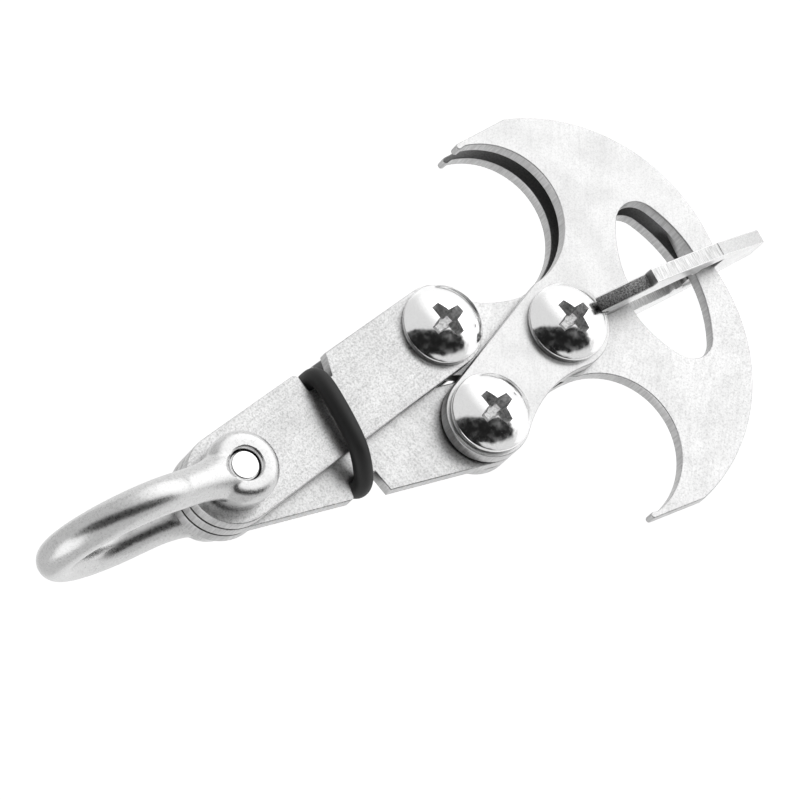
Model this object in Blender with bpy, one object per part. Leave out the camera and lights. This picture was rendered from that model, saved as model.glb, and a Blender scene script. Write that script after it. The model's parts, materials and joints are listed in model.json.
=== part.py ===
"""Folding grapnel anchor: a three-layer scissor of steel plates, a cross claw, a bow shackle and an O-ring.

It hangs from its shackle. +Z is up, and the origin is where a rope bears on the inside of the bow.
The plates lie square to Y, with the screw heads on the front, which faces -Y. The upper claw and the
upper arm, made of two plates each, are on the +X side, and the lower ones, one plate each, on the -X
side. Sizes are in millimetres. Outlines of plates are drawn with x down the axis and y out to the side.
"""

import math

import bmesh
import bpy

MM = 0.001

# The linkage: two arms from the shackle pin, two claws from the arm tips, crossing at the centre screw.
ARM_LENGTH = 54.0
LINK_LENGTH = 25.7
PIN_OFFSET = 9.5
PLATE = 3.0
LAYER_GAP = 0.6

# Pivots: a cross-recess screw in a barrel nut, with thin washers between the plates.
BARREL_RADIUS = 3.5
PIVOT_HOLE_RADIUS = 3.7
OPEN_PIVOT_HOLE_RADIUS = 4.6
HEAD_RADIUS = 7.85
HEAD_RIM = 1.2
HEAD_DOME = 3.3
HEAD_LIFT = 0.3
SHANK_RADIUS = 2.3
BORE_RADIUS = 2.6
RECESS_SPAN = 3.7
RECESS_TURN = 16.0
RECESS_WIDTH = 1.0
RECESS_DEPTH = 2.8
RECESS_MOUTH = 1.15
RECESS_FOOT = 0.55
NUT_DOME = 2.0
NUT_FLOOR = 0.6
WASHER_RADIUS = 7.0
WASHER_THICKNESS = 0.5

# Arms. The ring's notch has a square wall towards the shackle and a slope towards the claws.
ARM_EYE_RADIUS = 9.0
ARM_TIP_RADIUS = 8.5
NOTCH_WALL = 23.7
NOTCH_SLOPE_FOOT = 29.5
NOTCH_SLOPE_TOP = 31.2
NOTCH_FLOOR = 4.5
NOTCH_OUTER_CORNER = 1.0
NOTCH_INNER_CORNER = 0.6

# Claws, measured down the axis from the centre screw, then out towards the claw's own tip.
BOSS_RADIUS = 9.0
WAIST_FILLET = 22.0
THROAT_CENTRE = (-3.0, 24.5)
THROAT_RADIUS = 15.0
THROAT_END = -84.0
BACK_CENTRE = (0.7, 5.8)
BACK_RADIUS = 36.4
TIP = (-1.4, 40.3)
TIP_BLUNT = 1.3
SHOULDER_OUT = 41.0
WINDOW_LEFT_CENTRE = (41.0, 0.0)
WINDOW_LEFT_RADIUS = 24.7
WINDOW_CORNER_RADIUS = 4.6
WINDOW_RIGHT_CENTRE = (3.6, 0.0)
WINDOW_RIGHT_RADIUS = 28.6
ROOT_EDGE = -1.2
ROOT_CORNER = 1.2
RIM_END = -1.0
RIM_END_WIDTH = 4.3
TONGUE_END = -10.2
TONGUE_END_WIDTH = 0.6

# Cross claw, which clips over the rims, square to the plates.
CROSS_THICKNESS = 3.0
CROSS_CLEARANCE = 0.35
CROSS_TIP = (6.2, 8.6)
CROSS_TIP_BLUNT = 0.3
CROSS_STEP_FOOT = (17.0, 11.0)
CROSS_STEP_TOP = (17.3, 13.4)
CROSS_CREASE = (35.3, 9.2)
CROSS_END = (48.3, 3.2)
LIP_LENGTH = 2.4
LIP_HEIGHT = 1.5
LIP_BEVEL = 0.6
HEAD_CLEARANCE = 0.9

# Shackle. The bow leans a little towards +X on its pin.
WIRE_RADIUS = 3.5
BOW_RADIUS = 14.9
BOW_RISE = 35.6
BOW_LEAN = 2.4
NECK_SHARES = (0.86, 0.88, 0.96)
NECK_STEP = 0.3
EYE_RADIUS = 6.5
EYE_INNER = 5.9
EYE_THICKNESS = 7.7
EYE_ROUNDING = 1.8
EYE_CHAMFER = 0.5
SHACKLE_PIN_RADIUS = 2.95
SHACKLE_HOLE_RADIUS = 3.25
PIN_RECESS = 1.2
PIN_END_BEVEL = 0.4
PIN_HEAD_RADIUS = 4.3
PIN_HEAD_LIFT = 0.6
PIN_HEAD_THICKNESS = 2.2
PIN_HEAD_ROUNDING = 0.9
PIN_SLOT_WIDTH = 1.4
PIN_SLOT_DEPTH = 1.1

# O-ring, stretched round both arms in their notches.
RING_WIRE_RADIUS = 1.85
RING_CLEARANCE = 0.3

ARC_STEP = 4.5
ROUND = 40
CUTTER_MARGIN = 1.0

ARM_DROP = math.sqrt(ARM_LENGTH**2 - PIN_OFFSET**2)
LINK_DROP = math.sqrt(LINK_LENGTH**2 - PIN_OFFSET**2)
ARM_ANGLE = math.degrees(math.asin(PIN_OFFSET / ARM_LENGTH))
LINK_ANGLE = math.degrees(math.asin(PIN_OFFSET / LINK_LENGTH))
LAYER = PLATE + LAYER_GAP
STACK = 1.5 * PLATE + LAYER_GAP
FRONT, MIDDLE, BACK = -LAYER, 0.0, LAYER

# Pivots as (X, Z). The arms hang straight down from the shackle pin.
BEARING_REACH = BOW_RISE - WIRE_RADIUS
LEAN_SIN, LEAN_COS = math.sin(math.radians(BOW_LEAN)), math.cos(math.radians(BOW_LEAN))
SHACKLE_PIVOT = (-BEARING_REACH * LEAN_SIN, -BEARING_REACH * LEAN_COS)
UPPER_PIVOT = (SHACKLE_PIVOT[0] + PIN_OFFSET, SHACKLE_PIVOT[1] - ARM_DROP)
LOWER_PIVOT = (SHACKLE_PIVOT[0] - PIN_OFFSET, UPPER_PIVOT[1])
CENTRE_PIVOT = (SHACKLE_PIVOT[0], UPPER_PIVOT[1] - LINK_DROP)


# ---------------------------------------------------------------- points on outlines


def arc(centre, radius, start, end, step=ARC_STEP):
    """Points on a circle from one angle to another, in degrees, both ends included."""
    count = max(2, math.ceil(abs(end - start) / step))
    angles = [math.radians(start + (end - start) * i / count) for i in range(count + 1)]
    return [(centre[0] + radius * math.cos(a), centre[1] + radius * math.sin(a)) for a in angles]


def circle(centre, radius, segments=ROUND):
    return arc(centre, radius, 0.0, 360.0, 360.0 / segments)[:-1]


def angle_of(centre, point):
    return math.degrees(math.atan2(point[1] - centre[1], point[0] - centre[0]))


def on_circle(centre, radius, height):
    """The right-hand point of a circle at a given y."""
    return (centre[0] + math.sqrt(radius**2 - (height - centre[1]) ** 2), height)


def turned(point, angle):
    """A point turned about (0, 0) by an angle in degrees."""
    c, s = math.cos(math.radians(angle)), math.sin(math.radians(angle))
    return (point[0] * c - point[1] * s, point[0] * s + point[1] * c)


def arm_outline():
    """An arm along +x from its shackle hole at (0, 0), with the ring notch in its +y edge."""
    taper = math.degrees(math.asin((ARM_EYE_RADIUS - ARM_TIP_RADIUS) / ARM_LENGTH))

    def edge(x):
        return (ARM_EYE_RADIUS - x * math.sin(math.radians(taper))) / math.cos(math.radians(taper))

    inner_corner = (NOTCH_WALL + NOTCH_INNER_CORNER, NOTCH_FLOOR + NOTCH_INNER_CORNER)
    outer_x = NOTCH_WALL - NOTCH_OUTER_CORNER
    outer_corner = (outer_x, edge(outer_x) - NOTCH_OUTER_CORNER)
    points = arc((ARM_LENGTH, 0.0), ARM_TIP_RADIUS, taper - 90.0, 90.0 - taper)
    points += [(NOTCH_SLOPE_TOP, edge(NOTCH_SLOPE_TOP)), (NOTCH_SLOPE_FOOT, NOTCH_FLOOR)]
    points += arc(inner_corner, NOTCH_INNER_CORNER, 270.0, 180.0, 30.0)
    points += arc(outer_corner, NOTCH_OUTER_CORNER, 0.0, 90.0, 18.0)
    points += arc((0.0, 0.0), ARM_EYE_RADIUS, 90.0 - taper, 270.0 + taper)
    return points


def waist_fillet():
    """Centre of the hollow curve between the link end and the boss, on the side away from the tip."""
    to_link, to_boss = ARM_TIP_RADIUS + WAIST_FILLET, BOSS_RADIUS + WAIST_FILLET
    along = (LINK_LENGTH**2 + to_boss**2 - to_link**2) / (2.0 * LINK_LENGTH)
    out = math.sqrt(to_boss**2 - along**2)
    return turned((-along, -out), LINK_ANGLE)


def window_corner():
    """Centre of the window's rounded top corner, which touches both of its long sides."""
    to_left = WINDOW_LEFT_RADIUS - WINDOW_CORNER_RADIUS
    to_right = WINDOW_RIGHT_RADIUS - WINDOW_CORNER_RADIUS
    apart = WINDOW_LEFT_CENTRE[0] - WINDOW_RIGHT_CENTRE[0]
    along = (to_right**2 - to_left**2 + apart**2) / (2.0 * apart)
    return (WINDOW_RIGHT_CENTRE[0] + along, math.sqrt(to_right**2 - along**2))


def claw_outline(rim_end, end_width):
    """A claw with its tip towards +y: link end, waist, boss, window side, rim, back, tip and throat."""
    link_end, centre = (-LINK_DROP, -PIN_OFFSET), (0.0, 0.0)
    fillet = waist_fillet()
    points = arc(link_end, ARM_TIP_RADIUS, 90.0 + LINK_ANGLE, 360.0 + angle_of(link_end, fillet))
    points += arc(fillet, WAIST_FILLET, angle_of(fillet, link_end), angle_of(fillet, centre))[1:-1]
    root = on_circle(centre, BOSS_RADIUS, ROOT_EDGE)
    points += arc(centre, BOSS_RADIUS, angle_of(centre, fillet), angle_of(centre, root))

    left, right, corner = WINDOW_LEFT_CENTRE, WINDOW_RIGHT_CENTRE, window_corner()
    foot = left[0] - WINDOW_LEFT_RADIUS
    into, out_of = angle_of(left, corner), angle_of(right, corner)
    points += arc((foot - ROOT_CORNER, ROOT_EDGE + ROOT_CORNER), ROOT_CORNER, 270.0, 360.0, 30.0)[:-1]
    points += arc(left, WINDOW_LEFT_RADIUS, 180.0, into)
    points += arc(corner, WINDOW_CORNER_RADIUS, into, out_of, 12.0)[1:-1]
    points += arc(right, WINDOW_RIGHT_RADIUS, out_of, 0.0)

    rim_outer = on_circle(BACK_CENTRE, BACK_RADIUS, rim_end)
    shoulder = on_circle(BACK_CENTRE, BACK_RADIUS, SHOULDER_OUT)
    points.append((rim_outer[0] - end_width, rim_end))
    points += arc(BACK_CENTRE, BACK_RADIUS, angle_of(BACK_CENTRE, rim_outer), angle_of(BACK_CENTRE, shoulder))
    points += arc((TIP[0], TIP[1] - TIP_BLUNT / 2.0), TIP_BLUNT / 2.0, 90.0, 270.0, 30.0)
    inner_tip = (TIP[0], TIP[1] - TIP_BLUNT)
    points += arc(THROAT_CENTRE, THROAT_RADIUS, angle_of(THROAT_CENTRE, inner_tip), THROAT_END)[1:]
    return points


def cross_outline():
    """The cross claw, x down the axis and y out of the middle plate: the half above it, then its mirror."""
    slot = STACK + CROSS_CLEARANCE
    half_thick = CROSS_THICKNESS / 2.0
    slot_end = on_circle(BACK_CENTRE, BACK_RADIUS, half_thick)[0] + CROSS_CLEARANCE
    lip_end = on_circle(WINDOW_RIGHT_CENTRE, WINDOW_RIGHT_RADIUS, half_thick)[0] - CROSS_CLEARANCE
    lip_start = lip_end - LIP_LENGTH
    beside_head = HEAD_RADIUS + HEAD_CLEARANCE
    over_head = STACK + HEAD_LIFT + HEAD_RIM
    half = [
        (slot_end, slot),
        (lip_end, slot),
        (lip_end, slot - LIP_HEIGHT),
        (lip_start + LIP_BEVEL, slot - LIP_HEIGHT),
        (lip_start, slot),
        (beside_head, slot),
        (beside_head, over_head),
        CROSS_TIP,
        (CROSS_TIP[0] - CROSS_TIP_BLUNT, CROSS_TIP[1] + 2.0 * CROSS_TIP_BLUNT),
        (CROSS_TIP[0], CROSS_TIP[1] + 3.0 * CROSS_TIP_BLUNT),
        CROSS_STEP_FOOT,
        CROSS_STEP_TOP,
        CROSS_CREASE,
        CROSS_END,
    ]
    return half + [(x, -y) for x, y in reversed(half)]


def wrapped(corners, offset):
    """A closed line that runs round a convex shape at a distance from it, turning on each corner."""
    points = []
    for i, corner in enumerate(corners):
        before, after = corners[i - 1], corners[(i + 1) % len(corners)]
        start = angle_of(before, corner) - 90.0
        turn = (angle_of(corner, after) - 90.0 - start) % 360.0
        points += arc(corner, offset, start, start + turn, 18.0)
    return points


# ---------------------------------------------------------------- meshes


def finish(name, mesh_data, material, pivot):
    """An object at its pivot's (X, Z), smooth where it is round."""
    bmesh.ops.remove_doubles(mesh_data, verts=mesh_data.verts, dist=1e-7)
    bmesh.ops.recalc_face_normals(mesh_data, faces=mesh_data.faces)
    mesh = bpy.data.meshes.new(name)
    mesh_data.to_mesh(mesh)
    mesh_data.free()
    mesh.shade_smooth()
    mesh.set_sharp_from_angle(angle=math.radians(28.0))
    mesh.materials.append(material)
    obj = bpy.data.objects.new(name, mesh)
    bpy.context.scene.collection.objects.link(obj)
    obj.location = (pivot[0] * MM, 0.0, pivot[1] * MM)
    return obj


def add_loop(mesh_data, points):
    verts = [mesh_data.verts.new(p) for p in points]
    return [mesh_data.edges.new((verts[i - 1], verts[i])) for i in range(len(verts))]


def slab(loops, place, push):
    """A slab: closed loops of points, the outline and its holes, filled and pushed along a vector."""
    mesh_data = bmesh.new()
    edges = []
    for loop in loops:
        edges += add_loop(mesh_data, [place(point) for point in loop])
    filled = bmesh.ops.triangle_fill(mesh_data, use_beauty=True, use_dissolve=False, edges=edges)
    faces = [item for item in filled["geom"] if isinstance(item, bmesh.types.BMFace)]
    pushed = bmesh.ops.extrude_face_region(mesh_data, geom=faces)
    moved = [item for item in pushed["geom"] if isinstance(item, bmesh.types.BMVert)]
    bmesh.ops.translate(mesh_data, verts=moved, vec=push)
    return mesh_data


def plate(name, outline, holes, layer, side, angle, pivot, origin, material):
    """A plate in one layer: its outline turned about (0, 0), that point put on a pivot, y towards a side."""
    near = layer - PLATE / 2.0

    def place(point):
        down, out = turned(point, angle)
        return ((side * out + pivot[0] - origin[0]) * MM, near * MM, (pivot[1] - down - origin[1]) * MM)

    return finish(name, slab([outline] + holes, place, (0.0, PLATE * MM, 0.0)), material, origin)


def turned_piece(name, profile, pivot, material, closed=False, segments=ROUND):
    """A round piece on a pivot's Y axis. The profile is (radius, y) pairs; a closed one makes a ring."""
    mesh_data = bmesh.new()
    rings = []
    for radius, depth in profile:
        if radius == 0.0:
            rings.append([mesh_data.verts.new((0.0, depth * MM, 0.0))])
        else:
            points = circle((0.0, 0.0), radius, segments)
            rings.append([mesh_data.verts.new((x * MM, depth * MM, z * MM)) for x, z in points])
    pairs = list(zip(rings, rings[1:]))
    if closed:
        pairs.append((rings[-1], rings[0]))
    for first, second in pairs:
        for i in range(segments):
            j = (i + 1) % segments
            near = (first[i % len(first)], first[j % len(first)])
            far = (second[j % len(second)], second[i % len(second)])
            mesh_data.faces.new(list(dict.fromkeys(near + far)))
    return finish(name, mesh_data, material, pivot)


def boolean(target, tool, operation):
    """Joins or cuts with a helper object, which stays out of the render."""
    tool.hide_render = True
    tool.display_type = "WIRE"
    tool.hide_set(True)
    modifier = target.modifiers.new(operation.title(), "BOOLEAN")
    modifier.operation = operation
    modifier.object = tool
    modifier.solver = "EXACT"


def tube(name, path, radius, material, pivot, cyclic, sides):
    """A round wire along a line of (x, y, z, share of the radius) points, as a mesh."""
    curve = bpy.data.curves.new(name, "CURVE")
    curve.dimensions = "3D"
    curve.bevel_depth = radius * MM
    curve.bevel_resolution = sides // 2 - 2
    curve.use_fill_caps = True
    spline = curve.splines.new("POLY")
    spline.points.add(len(path) - 1)
    for point, (x, y, z, share) in zip(spline.points, path):
        point.co = (x * MM, y * MM, z * MM, 1.0)
        point.radius = share
    spline.use_cyclic_u = cyclic
    holder = bpy.data.objects.new(name + "_path", curve)
    mesh_data = bmesh.new()
    mesh_data.from_mesh(holder.to_mesh())
    holder.to_mesh_clear()
    bpy.data.objects.remove(holder)
    return finish(name, mesh_data, material, pivot)


# ---------------------------------------------------------------- materials


def metal(name, colour, roughness):
    material = bpy.data.materials.new(name)
    material.use_nodes = True
    shader = material.node_tree.nodes["Principled BSDF"]
    shader.inputs["Base Color"].default_value = (*colour, 1.0)
    shader.inputs["Metallic"].default_value = 1.0
    shader.inputs["Roughness"].default_value = roughness
    return material


def rubber(name):
    material = metal(name, (0.012, 0.012, 0.013), 0.5)
    material.node_tree.nodes["Principled BSDF"].inputs["Metallic"].default_value = 0.0
    return material


# ---------------------------------------------------------------- pieces


def arms(material):
    """The upper arm's two plates and the lower arm's one, fanned from the shackle pin."""
    holes = [circle((0.0, 0.0), SHACKLE_HOLE_RADIUS), circle((ARM_LENGTH, 0.0), PIVOT_HOLE_RADIUS)]
    for name, layer, side in (
        ("upper_arm_front_plate", FRONT, 1),
        ("upper_arm_back_plate", BACK, 1),
        ("lower_arm_plate", MIDDLE, -1),
    ):
        plate(name, arm_outline(), holes, layer, side, ARM_ANGLE, SHACKLE_PIVOT, SHACKLE_PIVOT, material)


def claws(material):
    """The upper claw's two plates and the lower claw's one, which has the tongue and the open pivot."""
    link_end = (-LINK_DROP, -PIN_OFFSET)
    for name, layer, side, rim_end, end_width, centre_hole, origin in (
        ("upper_claw_front_plate", FRONT, 1, RIM_END, RIM_END_WIDTH, PIVOT_HOLE_RADIUS, LOWER_PIVOT),
        ("upper_claw_back_plate", BACK, 1, RIM_END, RIM_END_WIDTH, PIVOT_HOLE_RADIUS, LOWER_PIVOT),
        ("lower_claw_plate", MIDDLE, -1, TONGUE_END, TONGUE_END_WIDTH, OPEN_PIVOT_HOLE_RADIUS, UPPER_PIVOT),
    ):
        holes = [circle(link_end, PIVOT_HOLE_RADIUS), circle((0.0, 0.0), centre_hole)]
        outline = claw_outline(rim_end, end_width)
        plate(name, outline, holes, layer, side, 0.0, CENTRE_PIVOT, origin, material)


def cross_claw(material):
    """The plate that stands square to the others on the axis, clipped over the rims."""

    def place(point):
        across = CENTRE_PIVOT[0] - LOWER_PIVOT[0] - CROSS_THICKNESS / 2.0
        height = CENTRE_PIVOT[1] - LOWER_PIVOT[1] - point[0]
        return (across * MM, -point[1] * MM, height * MM)

    solid = slab([cross_outline()], place, (CROSS_THICKNESS * MM, 0.0, 0.0))
    return finish("cross_claw", solid, material, LOWER_PIVOT)


def dome(start, rise, steps=5):
    """(radius, height) pairs of a low dome from its rim to its top."""
    ball = (start**2 + rise**2) / (2.0 * rise)
    half = math.asin(start / ball)
    angles = [half * (1.0 - i / steps) for i in range(steps + 1)]
    pairs = [(ball * math.sin(a), ball * math.cos(a) - ball + rise) for a in angles]
    return pairs[:-1] + [(0.0, rise)]


def cross_recess(name, pivot, top):
    """The cutter for a screw's cross recess, narrower at its foot."""
    mesh_data = bmesh.new()
    loops = []
    for share, depth in ((RECESS_MOUTH, -CUTTER_MARGIN), (RECESS_FOOT, RECESS_DEPTH)):
        span, width = RECESS_SPAN * share, RECESS_WIDTH * (share + 1.0) / 2.0
        quarter = [(span, -width), (span, width), (width, width)]
        points = [turned(point, RECESS_TURN + 90.0 * turn) for turn in range(4) for point in quarter]
        loops.append([mesh_data.verts.new((x * MM, (top + depth) * MM, z * MM)) for x, z in points])
    mesh_data.faces.new(loops[0])
    mesh_data.faces.new(loops[1][::-1])
    for i in range(12):
        mesh_data.faces.new((loops[0][i - 1], loops[1][i - 1], loops[1][i], loops[0][i]))
    return finish(name + "_recess", mesh_data, bpy.data.materials["polished_steel"], pivot)


def pivot_screw(name, pivot, material):
    """A truss-head screw, from the top of its dome to the end of its shank."""
    under = -STACK - HEAD_LIFT
    rim = under - HEAD_RIM
    head = [(radius, rim - height) for radius, height in dome(HEAD_RADIUS, HEAD_DOME)]
    profile = head[::-1] + [(HEAD_RADIUS, under), (SHANK_RADIUS, under), (SHANK_RADIUS, LAYER), (0.0, LAYER)]
    screw = turned_piece(name, profile, pivot, material)
    boolean(screw, cross_recess(name, pivot, rim - HEAD_DOME), "DIFFERENCE")
    return screw


def barrel_nut(name, pivot, material):
    """The barrel the plates turn on, open to the screw in front, with a low domed head behind."""
    under = STACK + HEAD_LIFT
    rim = under + HEAD_RIM
    floor = LAYER + NUT_FLOOR
    head = [(radius, rim + height) for radius, height in dome(HEAD_RADIUS, NUT_DOME, 4)]
    profile = [(0.0, floor), (BORE_RADIUS, floor), (BORE_RADIUS, -STACK), (BARREL_RADIUS, -STACK)]
    profile += [(BARREL_RADIUS, under), (HEAD_RADIUS, under)] + head
    return turned_piece(name, profile, pivot, material)


def washer(name, pivot, layer, bore, material):
    near, far = layer - WASHER_THICKNESS / 2.0, layer + WASHER_THICKNESS / 2.0
    profile = [(bore, near), (bore, far), (WASHER_RADIUS, far), (WASHER_RADIUS, near)]
    return turned_piece(name, profile, pivot, material, closed=True, segments=24)


def bow_path():
    """The bow's centre line from one eye to the other, as (x, y, z, share of the wire's radius)."""
    eye = EYE_INNER + EYE_THICKNESS / 2.0
    centre = BOW_RISE - BOW_RADIUS
    reach = math.hypot(eye, centre)
    tangent = math.degrees(math.acos(BOW_RADIUS / reach) + math.atan2(centre, eye)) - 90.0
    over = arc((0.0, centre), BOW_RADIUS, -tangent, 180.0 + tangent)
    rising = []
    for i, share in enumerate(NECK_SHARES):
        along = i * NECK_STEP
        rising.append((eye + (over[0][0] - eye) * along, over[0][1] * along, share))
    falling = [(-y, z, share) for y, z, share in reversed(rising)]
    line = rising + [(y, z, 1.0) for y, z in over] + falling
    return [(z * LEAN_SIN, y, z * LEAN_COS, share) for y, z, share in line]


def shackle_eye(name, side, material):
    """One rounded eye at the end of the bow."""
    outer = EYE_INNER + EYE_THICKNESS
    edge = EYE_RADIUS - EYE_ROUNDING
    corner = arc((edge, EYE_INNER + EYE_ROUNDING), EYE_ROUNDING, -90.0, 0.0, 22.5)
    corner += arc((edge, outer - EYE_ROUNDING), EYE_ROUNDING, 0.0, 90.0, 22.5)
    profile = [(0.0, EYE_INNER)] + corner + [(0.0, outer)]
    return turned_piece(name, [(radius, side * depth) for radius, depth in profile], SHACKLE_PIVOT, material)


def shackle(material):
    """The bow with its two bored eyes, and the screw pin with its slotted head behind."""
    bow = tube("shackle_bow", bow_path(), WIRE_RADIUS, material, SHACKLE_PIVOT, False, 20)
    for name, side in (("front_eye", -1), ("back_eye", 1)):
        boolean(bow, shackle_eye(name, side, material), "UNION")
    outer = EYE_INNER + EYE_THICKNESS
    beyond = outer + CUTTER_MARGIN
    mouth = SHACKLE_HOLE_RADIUS + EYE_CHAMFER + CUTTER_MARGIN
    bore = [(mouth, beyond), (SHACKLE_HOLE_RADIUS, outer - EYE_CHAMFER)]
    profile = [(0.0, -beyond)] + [(radius, -depth) for radius, depth in bore] + bore[::-1] + [(0.0, beyond)]
    boolean(bow, turned_piece("eye_bore", profile, SHACKLE_PIVOT, material), "DIFFERENCE")

    end, seat = PIN_RECESS - outer, outer + PIN_HEAD_LIFT
    top = seat + PIN_HEAD_THICKNESS
    rounding = (PIN_HEAD_RADIUS - PIN_HEAD_ROUNDING, top - PIN_HEAD_ROUNDING)
    profile = [(0.0, end), (SHACKLE_PIN_RADIUS - PIN_END_BEVEL, end)]
    profile += [(SHACKLE_PIN_RADIUS, end + PIN_END_BEVEL), (SHACKLE_PIN_RADIUS, seat)]
    profile += [(PIN_HEAD_RADIUS, seat)] + arc(rounding, PIN_HEAD_ROUNDING, 0.0, 90.0, 30.0) + [(0.0, top)]
    pin = turned_piece("shackle_pin", profile, SHACKLE_PIVOT, material)

    def place(point):
        return (point[0] * MM, (top - PIN_SLOT_DEPTH) * MM, point[1] * MM)

    half_long, half_wide = PIN_HEAD_RADIUS + CUTTER_MARGIN, PIN_SLOT_WIDTH / 2.0
    corners = [(-half_long, -half_wide), (half_long, -half_wide)]
    corners += [(half_long, half_wide), (-half_long, half_wide)]
    slot = slab([corners], place, (0.0, (PIN_SLOT_DEPTH + CUTTER_MARGIN) * MM, 0.0))
    boolean(pin, finish("pin_slot", slot, material, SHACKLE_PIVOT), "DIFFERENCE")


def o_ring(material):
    """The stretched ring in the arms' notches, round the three layers and against the notch walls."""
    angle = math.radians(ARM_ANGLE)
    along = NOTCH_WALL + RING_CLEARANCE + RING_WIRE_RADIUS
    drop, out = turned((along, NOTCH_FLOOR), ARM_ANGLE)
    half_width = (ARM_EYE_RADIUS + ARM_TIP_RADIUS) / 2.0
    inner_edge = drop * math.tan(angle) - half_width / math.cos(angle)
    half = PLATE / 2.0
    corners = [(out, STACK), (inner_edge, STACK), (-out, half)]
    corners += [(x, -y) for x, y in reversed(corners)]
    line = wrapped(corners, RING_WIRE_RADIUS + RING_CLEARANCE)
    path = [(x, y, -drop, 1.0) for x, y in line]
    tube("o_ring", path, RING_WIRE_RADIUS, material, SHACKLE_PIVOT, True, 16)


def main():
    for old in list(bpy.data.objects):
        bpy.data.objects.remove(old)
    brushed = metal("brushed_steel", (0.62, 0.62, 0.61), 0.38)
    polished = metal("polished_steel", (0.72, 0.72, 0.72), 0.12)
    forged = metal("shackle_steel", (0.6, 0.6, 0.59), 0.24)

    arms(brushed)
    claws(brushed)
    cross_claw(brushed)
    shackle(forged)
    o_ring(rubber("black_rubber"))
    for name, pivot in (("upper", UPPER_PIVOT), ("lower", LOWER_PIVOT), ("centre", CENTRE_PIVOT)):
        pivot_screw(f"{name}_pivot_screw", pivot, polished)
        barrel_nut(f"{name}_barrel_nut", pivot, polished)
    gap = LAYER / 2.0
    for name, pivot, bore in (
        ("shackle", SHACKLE_PIVOT, SHACKLE_HOLE_RADIUS),
        ("upper", UPPER_PIVOT, PIVOT_HOLE_RADIUS),
        ("lower", LOWER_PIVOT, PIVOT_HOLE_RADIUS),
        ("centre", CENTRE_PIVOT, PIVOT_HOLE_RADIUS),
    ):
        washer(f"{name}_front_washer", pivot, -gap, bore, polished)
        washer(f"{name}_back_washer", pivot, gap, bore, polished)


main()
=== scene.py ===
"""Looks of the folding grapnel anchor, built round its CAD nodes: plates, domed screws, bow and ring.

The row frame is the CAD's: +Z up along the hanging anchor, the screw heads on the side that faces -Y, and
the origin where a rope bears inside the bow. Sizes are in millimetres unless a name says otherwise.
"""

import json
import math

import bmesh
import bpy
from mathutils import Matrix, Vector

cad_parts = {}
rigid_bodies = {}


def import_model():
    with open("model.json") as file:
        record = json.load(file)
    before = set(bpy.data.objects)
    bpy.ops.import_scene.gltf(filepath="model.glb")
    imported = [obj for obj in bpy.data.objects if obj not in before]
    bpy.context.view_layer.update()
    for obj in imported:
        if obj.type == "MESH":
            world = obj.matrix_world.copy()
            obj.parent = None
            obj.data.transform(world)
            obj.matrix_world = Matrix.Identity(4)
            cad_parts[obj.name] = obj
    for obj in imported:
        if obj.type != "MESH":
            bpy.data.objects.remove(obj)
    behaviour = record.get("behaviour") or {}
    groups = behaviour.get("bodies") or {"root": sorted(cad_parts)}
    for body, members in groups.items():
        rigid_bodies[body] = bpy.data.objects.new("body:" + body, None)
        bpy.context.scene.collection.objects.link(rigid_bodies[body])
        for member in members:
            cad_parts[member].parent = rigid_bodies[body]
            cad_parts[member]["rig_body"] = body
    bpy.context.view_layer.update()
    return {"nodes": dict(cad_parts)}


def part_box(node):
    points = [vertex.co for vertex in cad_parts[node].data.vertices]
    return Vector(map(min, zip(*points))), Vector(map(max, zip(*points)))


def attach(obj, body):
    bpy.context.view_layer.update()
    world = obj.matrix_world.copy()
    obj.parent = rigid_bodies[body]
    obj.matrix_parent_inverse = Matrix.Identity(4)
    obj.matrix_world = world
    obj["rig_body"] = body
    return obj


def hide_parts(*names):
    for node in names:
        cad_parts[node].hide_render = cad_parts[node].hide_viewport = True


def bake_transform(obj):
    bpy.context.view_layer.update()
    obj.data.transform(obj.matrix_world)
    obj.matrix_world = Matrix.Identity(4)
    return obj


MM = 0.001
CUT_MARGIN = 1.2

# The shader's metallic values, and the range that most of a noise lies in.
METAL = 1.0
NOT_METAL = 0.0
NOISE_RANGE = (0.3, 0.7)

# How squarely a face must look along an axis to count as a cap, and as a side turned to the next layer.
CAP_FACING = 0.99
# Sides turned this squarely to the next layer are painted with the shade between the layers.
INWARD_FACING = 0.9

# Rounded corners are drawn in this many steps, and edges sharper than these angles stay sharp.
CORNER_STEPS = 5
ROUNDING_STEPS = 8
SHARP = 40.0
SCREW_SHARP = 35.0
BOW_SHARP = 50.0

# Plates.
PLATE_BEVEL = 0.22
BEVEL_STEPS = 3
CAP_MARGIN = 0.06
MITRE_LIMIT = 0.35

# Screws, nuts and washers. The half stack is half the thickness of the three plate layers and their gaps.
HALF_STACK = 5.1
HEAD_LIFT = 0.3
HEAD_RIM = 1.2
HEAD_ROUND = 0.35
HEAD_SHOULDER = 0.1
DOME_EDGE_TURN = -60.0
DOME_STEPS = 20
ROUND = 96
RECESS_SPAN = 4.1
RECESS_WIDTH = 0.88
RECESS_DEPTH = 3.0
RECESS_FOOT = 0.42
RECESS_TAPER = 0.4
RECESS_HUB = 1.22
RECESS_TURN = 16.0
SHANK_RADIUS = 2.3
BORE_RADIUS = 2.6
BARREL_RADIUS = 3.5
NUT_FLOOR = 0.9
WASHER_BORE = 3.7
WASHER_ROUNDING = 0.1
WASHER_STEPS = 2

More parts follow.
